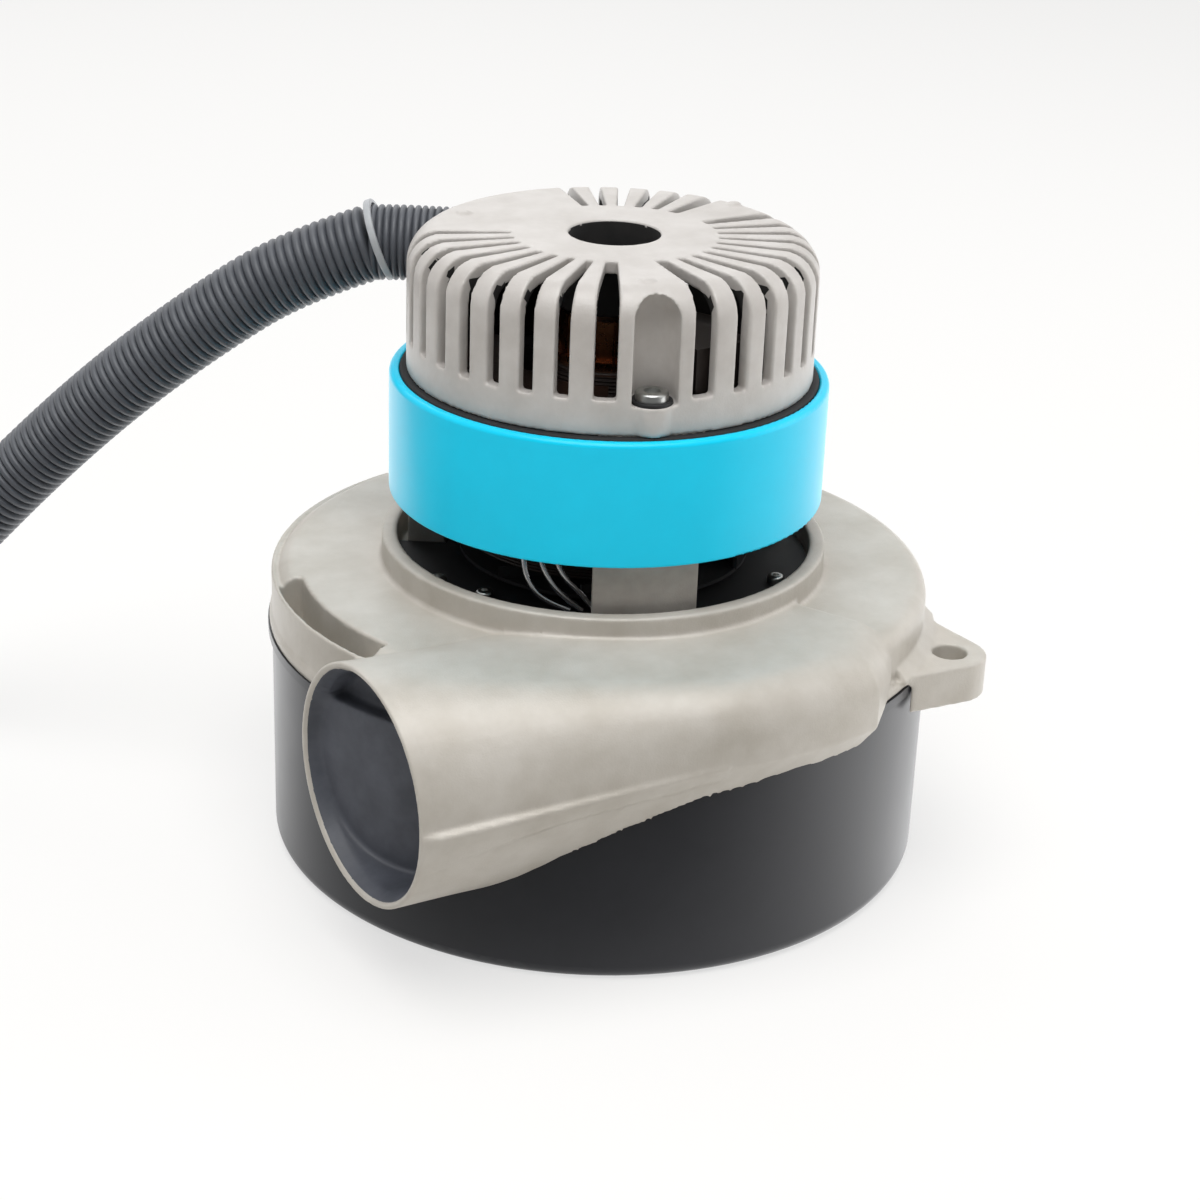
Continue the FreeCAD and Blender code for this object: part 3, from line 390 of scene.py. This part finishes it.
# Slim tie round the joint of the two, with its lock at the front
tie = {"inner": 10.3, "outer": 11.5, "width": 1.9, "back": 2.6, "lock": (3.4, 4.6, 3.2), "lockTurn": 218}
tieRing = turn("tieRing", rounded([
    (tie["inner"], -tie["width"] / 2), (tie["outer"], -tie["width"] / 2, 0.35),
    (tie["outer"], tie["width"] / 2, 0.35), (tie["inner"], tie["width"] / 2)], 3), 64)
deselect()
bpy.ops.mesh.primitive_cube_add(size=1)
lock = bpy.context.object
lock.dimensions = [side * mm for side in tie["lock"]]
lock.location = polar(tie["outer"] + 0.9, tie["lockTurn"])
lock.rotation_euler = (0, 0, math.radians(tie["lockTurn"]))
bpy.ops.object.transform_apply(location=True, rotation=True, scale=True)
modifier(lock, "BEVEL", width=0.5 * mm, segments=3)
applyModifiers(lock)
deselect()
lock.select_set(True)
tieRing.select_set(True)
bpy.context.view_layer.objects.active = tieRing
bpy.ops.object.join()
hoseStart = Vector(conduitRoute[0])
hoseHeading = (Vector(conduitRoute[1]) - hoseStart).normalized()
tieTurn = hoseHeading.to_track_quat("Z", "Y").to_matrix().to_4x4()
tieRing.data.transform(Matrix.Translation(hoseStart - hoseHeading * tie["back"] * mm) @ tieTurn)
smooth(tieRing, 40)
stands(tieRing, "conduit_tie")
print("conduit laid:", round(hoseLength, 4), "m")

# Castings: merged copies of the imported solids, remeshed so that every edge is soft as cast

castPieces = {
    "scrollCasting": {"node": "scroll_casting", "voxel": 0.65, "rounds": 3, "triangles": 190000},
    "domeCasting": {"node": "dome_cover", "voxel": 0.5, "rounds": 2, "triangles": 190000},
    "postCastings": {"node": "motor_posts", "voxel": 0.5, "rounds": 2, "triangles": 40000},
}
dome = {"inner": 51.1, "roof": 169.6, "top": 173.2, "foot": 136.0, "boltCircle": 50.5,
        "boltAngles": (-111.5, 8.5, 128.5), "pocketFloor": 143.5, "pocketWall": 6.6, "hubWall": 12.9,
        "footWidth": 11.4, "footReach": 56.2, "marks": ((44.5, -112.8), (46.5, 11.5), (43.0, 127.8))}
horn = {"y": -42.9, "z": 54.0, "mouth": -99.3, "outside": 31.7, "bevel": 4.1, "rimShare": 0.58,
        "rimZone": (27.0, 33.0), "floor": 28.0, "inside": 29.8, "wall": (95.0, 97.6), "wallEnd": -45.0,
        "channelFront": -20.0, "channelFloor": 66.0, "roof": 80.4, "throatStart": -35.0, "end": 20.0}
# The crease on the duct's side, from the mouth to where the duct meets the scroll
crease = {"from": (-99.3, -74.6, 54.0), "to": (-23.9, -95.87, 64.0), "step": 2.0, "above": 0.9,
          "below": 8.0, "depth": 2.2, "height": 20.0}
# How far the duct's lower edge drops at each angle round the shell, and its distance to the crease
ductEdge = {"angles": (-128.0, -122.6, -119.5, -116.4, -113.3, -106.9, -103.6, -100.2, -96.7, -93.0),
            "drops": (0.0, 1.4, 2.0, 2.8, 3.5, 3.4, 3.2, 2.0, 0.9, 0.0),
            "spanAngles": (-128.0, -119.5, -110.0, -100.0), "spans": (20.0, 15.4, 9.9, 8.7),
            "shell": 89.0, "soft": 96.5, "softAngles": (-140, -65), "softTop": 63, "rounds": 14}
skirt = {"inner": 90.4, "outer": 91.45, "low": 20.0, "high": 79.0, "start": -150, "step": 1.5, "steps": 72}


def domeExtras():
    # Half-round feet under the bolt pockets and the low ejector marks on the roof
    extras = []
    for angle in dome["boltAngles"]:
        reach = dome["footReach"] - dome["boltCircle"]
        deselect()
        bpy.ops.mesh.primitive_cylinder_add(vertices=48, radius=dome["footWidth"] / 2 * mm,
                                            depth=(dome["pocketFloor"] - dome["foot"]) * mm)
        foot = bpy.context.object
        foot.scale = (reach / (dome["footWidth"] / 2), 1, 1)
        foot.location = polar(dome["boltCircle"], angle, (dome["pocketFloor"] + dome["foot"]) / 2)
        foot.rotation_euler = (0, 0, math.radians(angle))
        extras.append(foot)
    for radius, angle in dome["marks"]:
        deselect()
        bpy.ops.mesh.primitive_cylinder_add(vertices=24, radius=1.7 * mm, depth=2.6 * mm,
                                            location=polar(radius, angle, dome["top"] - 0.6))
        extras.append(bpy.context.object)
    return extras


def ductSkirt():
    # Lies within the shell's wall under the duct, so that the duct's lower edge stays clean
    strip = turn("ductSkirt", [(skirt["inner"], skirt["low"]), (skirt["outer"], skirt["low"]),
                               (skirt["outer"], skirt["high"]), (skirt["inner"], skirt["high"])],
                 angles=[skirt["step"]] * skirt["steps"])
    pick(strip)
    bpy.ops.object.mode_set(mode="EDIT")
    bpy.ops.mesh.select_all(action="SELECT")
    bpy.ops.mesh.fill_holes(sides=4)
    bpy.ops.mesh.normals_make_consistent(inside=False)
    bpy.ops.object.mode_set(mode="OBJECT")
    strip.data.transform(Matrix.Rotation(math.radians(skirt["start"]), 4, "Z"))
    return [strip]


def shapeHorn(piece):
    # Thins the mouth's rim by a long bevel inside it, sharpens the crease on the duct's side
    # and brings the duct's lower edge to its line on the shell
    mesh = piece.data
    spots = np.empty(len(mesh.vertices) * 3)
    mesh.vertices.foreach_get("co", spots)
    spots = spots.reshape(-1, 3) / mm
    across = spots[:, 1] - horn["y"]
    rise = spots[:, 2] - horn["z"]
    radius = np.hypot(across, rise)
    inward = np.clip((horn["mouth"] + horn["bevel"] - spots[:, 0]) / horn["bevel"], 0, 1)
    low, high = horn["rimZone"]
    rim = (spots[:, 0] < horn["mouth"] + horn["bevel"]) & (radius > low) & (radius < high)
    thinned = horn["outside"] - (horn["outside"] - radius) * (1 - horn["rimShare"] * inward)
    grow = np.where(rim, thinned / radius, 1.0)
    spots[:, 1] = horn["y"] + across * grow
    spots[:, 2] = horn["z"] + rise * grow

    first = np.array(crease["from"])
    run = np.array(crease["to"]) - first
    length = np.hypot(run[0], run[1])
    ahead = run[:2] / length
    outward = np.array((ahead[1], -ahead[0]))
    away = spots[:, :2] - first[:2]
    share = (away @ ahead) / length
    height = rise + horn["z"] - (first[2] + run[2] * share)
    fade = np.clip(1.2 - share, 0, 1) * np.clip(0.3 + share * 12, 0, 1)
    shape = np.where(height > 0, np.exp(-(height / crease["above"]) ** 2),
                     np.exp(-(height / crease["below"]) ** 2))
    outer = ((share > 0) & (share < 1) & (away @ outward > -crease["depth"])
             & (np.abs(height) < crease["height"]))
    push = np.where(outer, crease["step"] * fade * shape, 0.0)
    spots[:, :2] += outward * push[:, None]

    angle = np.degrees(np.arctan2(spots[:, 1], spots[:, 0]))
    out = np.hypot(spots[:, 0], spots[:, 1])
    drop = np.interp(angle, ductEdge["angles"], ductEdge["drops"])
    span = np.interp(angle, ductEdge["spanAngles"], ductEdge["spans"])
    below = (out > ductEdge["shell"]) & (angle > -132) & (angle < -90) & (spots[:, 2] > 12)
    spots[:, 2] -= np.where(below, drop * np.clip(-height / span, 0, 1), 0.0)
    mesh.vertices.foreach_set("co", (spots * mm).ravel())
    mesh.update()
    edge = piece.vertex_groups.new(name="edge")
    start, end = ductEdge["softAngles"]
    seam = ((out > ductEdge["shell"]) & (out < ductEdge["soft"]) & (angle > start) & (angle < end)
            & (spots[:, 2] < ductEdge["softTop"]))
    edge.add([int(k) for k in np.flatnonzero(seam)], 1.0, "REPLACE")
    modifier(piece, "SMOOTH", factor=0.5, iterations=ductEdge["rounds"], vertex_group="edge")
    applyModifiers(piece)


def paintInside(piece, material, inside):
    # Faces that pass the test take a second finish, which puts painted shade inside the cover and the horn
    piece.data.materials.append(material)
    count = 0
    for face in piece.data.polygons:
        if inside(face.center / mm, face.normal):
            face.material_index = 1
            count += 1
    print(piece.name, "inside faces:", count)


def castCopy(name, node, voxel, rounds, triangles, extras=(), shape=None):
    piece = bpy.data.objects.new(name, nodes[node].data.copy())
    bpy.context.scene.collection.objects.link(piece)
    pick(piece)
    bpy.ops.object.mode_set(mode="EDIT")
    bpy.ops.mesh.select_all(action="SELECT")
    bpy.ops.mesh.remove_doubles(threshold=0.00001)
    bpy.ops.object.mode_set(mode="OBJECT")
    if extras:
        for extra in extras:
            extra.select_set(True)
        bpy.ops.object.join()
    modifier(piece, "REMESH", mode="VOXEL", voxel_size=voxel * mm, use_smooth_shade=True)
    modifier(piece, "SMOOTH", factor=0.5, iterations=rounds)
    applyModifiers(piece)
    if shape:
        shape(piece)
    before = len(piece.data.polygons)
    modifier(piece, "DECIMATE", ratio=min(1.0, triangles / (2 * before)))
    applyModifiers(piece)
    smooth(piece, 75)
    print(name, "cast:", before, "quads to", len(piece.data.polygons), "triangles")
    return piece


scrollCasting = castCopy("scrollCasting", shape=shapeHorn, extras=ductSkirt(),
                         **castPieces["scrollCasting"])
stands(scrollCasting, "scroll_casting")
domeCasting = castCopy("domeCasting", extras=domeExtras(), **castPieces["domeCasting"])
stands(domeCasting, "dome_cover")
postCastings = castCopy("postCastings", **castPieces["postCastings"])
stands(postCastings, "motor_posts")

castTree = BVHTree.FromPolygons([v.co for v in scrollCasting.data.vertices],
                                [p.vertices for p in scrollCasting.data.polygons])


def hornShadeFaces(spot, normal):
    # Throat and duct as seen through the mouth take the painted shade, the wall beside the shell its
    # enamel. Deeper in, a face counts as inside when it looks at another wall close by, so the painted
    # shade falls where walls face each other
    out = math.hypot(spot.x, spot.y)
    reach = math.hypot(spot.y - horn["y"], spot.z - horn["z"])
    if spot.y > -12 or spot.x > horn["end"] or spot.z > horn["roof"] or out < 62:
        return False
    towards = (normal.y * (horn["y"] - spot.y) + normal.z * (horn["z"] - spot.z)) / reach
    if spot.x < horn["mouth"] + horn["bevel"] + 1:
        return spot.x > horn["mouth"] + 0.9 and (towards > 0.5 or reach < horn["floor"])
    if spot.x < horn["throatStart"]:
        radial = (normal.x * spot.x + normal.y * spot.y) / out
        near, far = horn["wall"]
        beside = near < out < far and radial > 0.93 and spot.x < horn["wallEnd"]
        channel = spot.y > horn["channelFront"] and spot.z > horn["channelFloor"]
        widening = 30.5 + (spot.x + 94.0) * 0.2
        return reach < horn["inside"] or beside or (towards > 0.1 and not channel and reach < widening)
    if normal.z < 0.5 and normal.y < -0.3 and spot.y < -60:
        return False
    hit = castTree.ray_cast(spot * mm + normal * 0.3 * mm, normal, 0.08)
    return hit[0] is not None


def domeShadeFaces(spot, normal):
    # Everything behind the ribs and inside the bearing hub, but not the bolts' pockets: these faces take
    # the painted shade
    radius = math.hypot(spot.x, spot.y)
    for angle in dome["boltAngles"]:
        bolt = polar(dome["boltCircle"], angle) / mm
        aside = math.hypot(spot.x - bolt.x, spot.y - bolt.y)
        if aside < dome["pocketWall"] and spot.z > dome["pocketFloor"] - 0.4:
            return False
    if radius < dome["hubWall"]:
        return spot.z < dome["top"] - 0.7
    return radius < dome["inner"] + 0.3 and spot.z < dome["roof"] + 0.3


paintInside(scrollCasting, throatEnamelAndShade, hornShadeFaces)
paintInside(domeCasting, shadedInsideAlloy, domeShadeFaces)

# Screws with low heads on black washers, at the foot of the cover's pockets; the washers' black is partly
# painted shade of the pockets
screw = {"low": 112.0, "shank": 2.4, "seat": 143.5, "washer": 5.4, "washerHeight": 0.9,
         "head": 4.3, "headHeight": 2.2, "hex": 2.2, "hexDepth": 1.4}
screwPieces = []
washerPieces = []
for angle in dome["boltAngles"]:
    top = screw["seat"] + screw["washerHeight"]
    headTop = top + screw["headHeight"]
    body = turn("screw", rounded([
        (0, screw["low"]), (screw["shank"], screw["low"] + 0.5), (screw["shank"], top - 0.6),
        (screw["head"], top), (screw["head"], headTop, 0.9), (screw["hex"], headTop),
        (screw["hex"], headTop - screw["hexDepth"]), (0, headTop - screw["hexDepth"])], 4), 40,
        closed=False)
    washer = turn("washer", rounded([
        (screw["head"] - 1.5, screw["seat"]), (screw["washer"], screw["seat"]),
        (screw["washer"], top, 0.3), (screw["head"] - 1.5, top)], 2), 40)
    for piece, group in ((body, screwPieces), (washer, washerPieces)):
        piece.data.transform(Matrix.Translation(polar(dome["boltCircle"], angle)))
        group.append(piece)


def joined(pieces, name):
    deselect()
    for piece in pieces:
        piece.select_set(True)
    bpy.context.view_layer.objects.active = pieces[0]
    bpy.ops.object.join()
    whole = bpy.context.object
    whole.name = name
    smooth(whole, 40)
    return whole


screws = joined(screwPieces, "coverScrews")
stands(screws, "through_bolts")
washers = joined(washerPieces, "screwWashers")
washers.data.materials.append(blackAndShade)
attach(washers, "housing")

# Liner: a soft strip that stands a little proud of the band, so the cover sits in black
liner = {"inner": 53.6, "outer": 56.5, "low": 103.1, "high": 135.8}
linerStrip = turn("linerStrip", rounded([
    (liner["inner"], liner["low"]), (liner["outer"], liner["low"]),
    (liner["outer"], liner["high"], 0.7), (liner["inner"], liner["high"], 0.5)], 4), 160)
smooth(linerStrip, 40)
stands(linerStrip, "band_liner")

# Under the band: tinned leads from the field coils, and heads that hold the baffle plate
leadWires = {
    "radius": 0.75,
    "routes": [
        [(46.0, -150.5, 101.0), (48.2, -149.0, 96.0), (48.6, -147.0, 91.0), (48.0, -142.0, 86.5),
         (46.0, -134.0, 84.0)],
        [(45.5, -146.0, 101.5), (47.4, -143.5, 97.0), (47.8, -140.5, 92.5), (47.2, -136.0, 88.0),
         (45.5, -130.0, 84.0)],
        [(45.0, -141.0, 101.5), (46.6, -138.5, 97.0), (46.8, -135.5, 93.0), (46.0, -131.0, 89.5),
         (44.8, -127.0, 85.0)],
    ],
}
leads = []
for k, route in enumerate(leadWires["routes"]):
    line = splineCurve("lead" + str(k), [polar(*point) for point in route])
    line.data.bevel_depth = leadWires["radius"] * mm
    line.data.bevel_resolution = 4
    line.data.use_fill_caps = True
    pick(line)
    bpy.ops.object.convert(target="MESH")
    leads.append(bpy.context.object)
leadSet = joined(leads, "leadWires")
leadSet.data.materials.clear()
leadSet.data.materials.append(leadTin)
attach(leadSet, "housing")

baffleScrew = {"low": 82.3, "radius": 2.3, "height": 2.2,
               "places": ((47.0, -165.0), (50.4, -54.4), (51.5, 178.0), (48.0, -20.0), (48.0, 70.0))}
heads = []
for radius, angle in baffleScrew["places"]:
    low = baffleScrew["low"]
    head = turn("baffleHead", rounded([
        (0, low), (baffleScrew["radius"], low), (baffleScrew["radius"], low + baffleScrew["height"], 0.9),
        (0.9, low + baffleScrew["height"]), (0.7, low + baffleScrew["height"] - 0.7),
        (0, low + baffleScrew["height"] - 0.7)], 4), 28, closed=False)
    head.data.transform(Matrix.Translation(polar(radius, angle)))
    heads.append(head)
baffleHeads = joined(heads, "baffleHeads")
baffleHeads.data.materials.append(zincPlate)
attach(baffleHeads, "housing")

# Stage: pale floor that shows near white and keeps the shadow. As the photo's reflections
# show, the camera's side is dark, so satin surfaces are dark in the middle and bright at the sides

stage = {"radius": 6.0, "shown": 0.66, "darkSide": (-0.54, -0.80, -0.26), "darkFloor": (-0.82, -0.57, 0.0),
         "sides": 0.47, "ahead": 0.16, "floorSides": 1.95, "floorAhead": 0.3,
         "floorRange": (-0.03, 0.15), "worldRange": (0.0, 0.8)}


def towardsCamera(tree, source, output, direction, limits, away, ahead):
    # A strength that falls from away to ahead as the place or direction nears the camera's side
    low, high = limits
    near = addNode(tree, "ShaderNodeVectorMath", {1: direction}, {0: (source, output)},
                   operation="DOT_PRODUCT")
    return addNode(tree, "ShaderNodeMapRange", {"From Min": low, "From Max": high, "To Min": away,
                                                "To Max": ahead},
                   {"Value": (near, "Value")}, interpolation_type="SMOOTHSTEP")


bpy.ops.mesh.primitive_circle_add(vertices=96, radius=stage["radius"], fill_type="NGON")
floor = bpy.context.object
floor.name = "floor"
floorPaint = bpy.data.materials.new("PaleFloor")
floorPaint.use_nodes = True
tree = floorPaint.node_tree
tree.nodes.clear()
seen = addNode(tree, "ShaderNodeLightPath")
spot = addNode(tree, "ShaderNodeTexCoord")
level = towardsCamera(tree, spot, "Object", stage["darkFloor"], stage["floorRange"],
                      stage["floorSides"], stage["floorAhead"])
share = addNode(tree, "ShaderNodeMath", {1: stage["shown"]}, {0: (seen, "Is Camera Ray")},
                operation="MULTIPLY")
paint = addNode(tree, "ShaderNodeBsdfDiffuse", {"Color": linear("#F6F4F0")})
glow = addNode(tree, "ShaderNodeEmission", {"Color": (1, 1, 1, 1), "Strength": 1.0})
shine = addNode(tree, "ShaderNodeEmission", {"Color": (1, 1, 1, 1)}, {"Strength": (level, "Result")})
shown = addNode(tree, "ShaderNodeMixShader", links={0: (share, "Value"), 1: (paint, "BSDF"),
                                                    2: (glow, "Emission")})
both = addNode(tree, "ShaderNodeMixShader", links={0: (seen, "Is Glossy Ray"), 1: (shown, "Shader"),
                                                   2: (shine, "Emission")})
addNode(tree, "ShaderNodeOutputMaterial", links={"Surface": (both, "Shader")})
floor.data.materials.append(floorPaint)

world = bpy.data.worlds.new("studio")
bpy.context.scene.world = world
world.use_nodes = True
tree = world.node_tree
tree.nodes.clear()
seen = addNode(tree, "ShaderNodeLightPath")
spot = addNode(tree, "ShaderNodeTexCoord")
level = towardsCamera(tree, spot, "Generated", stage["darkSide"], stage["worldRange"],
                      stage["sides"], stage["ahead"])
gleam = towardsCamera(tree, spot, "Generated", stage["darkSide"], stage["worldRange"], 1.0,
                      stage["ahead"])
fill = addNode(tree, "ShaderNodeBackground", {"Color": (1, 1, 1, 1)}, {"Strength": (level, "Result")})
shine = addNode(tree, "ShaderNodeBackground", {"Color": (1, 1, 1, 1)}, {"Strength": (gleam, "Result")})
white = addNode(tree, "ShaderNodeBackground", {"Color": (1, 1, 1, 1), "Strength": 1.0})
clear = addNode(tree, "ShaderNodeMath", links={0: (seen, "Is Camera Ray"),
                                               1: (seen, "Is Transmission Ray")},
                operation="MAXIMUM")
dull = addNode(tree, "ShaderNodeMixShader", links={0: (seen, "Is Glossy Ray"), 1: (fill, "Background"),
                                                   2: (shine, "Background")})
mixed = addNode(tree, "ShaderNodeMixShader", links={0: (clear, "Value"), 1: (dull, "Shader"),
                                                    2: (white, "Background")})
addNode(tree, "ShaderNodeOutputWorld", links={"Surface": (mixed, "Shader")})

lamps = [
    {"name": "keyLamp", "place": (-0.28, -0.34, 1.45), "size": 1.3, "power": 17.5},
    {"name": "fillLamp", "place": (1.2, -0.3, 0.5), "size": 0.8, "power": 3.0},
    {"name": "backLamp", "place": (0.3, 1.1, 1.0), "size": 1.0, "power": 3.0},
]
lampAim = Vector((0, 0, 0.08))
for lamp in lamps:
    light = bpy.data.lights.new(lamp["name"], "AREA")
    light.shape = "DISK"
    light.size = lamp["size"]
    light.energy = lamp["power"]
    holder = bpy.data.objects.new(lamp["name"], light)
    bpy.context.scene.collection.objects.link(holder)
    where = Vector(lamp["place"])
    holder.matrix_world = Matrix.Translation(where) @ (
        (lampAim - where).to_track_quat("-Z", "Y").to_matrix().to_4x4())
bpy.context.scene.view_settings.view_transform = "Standard"
print("stage and lights set")
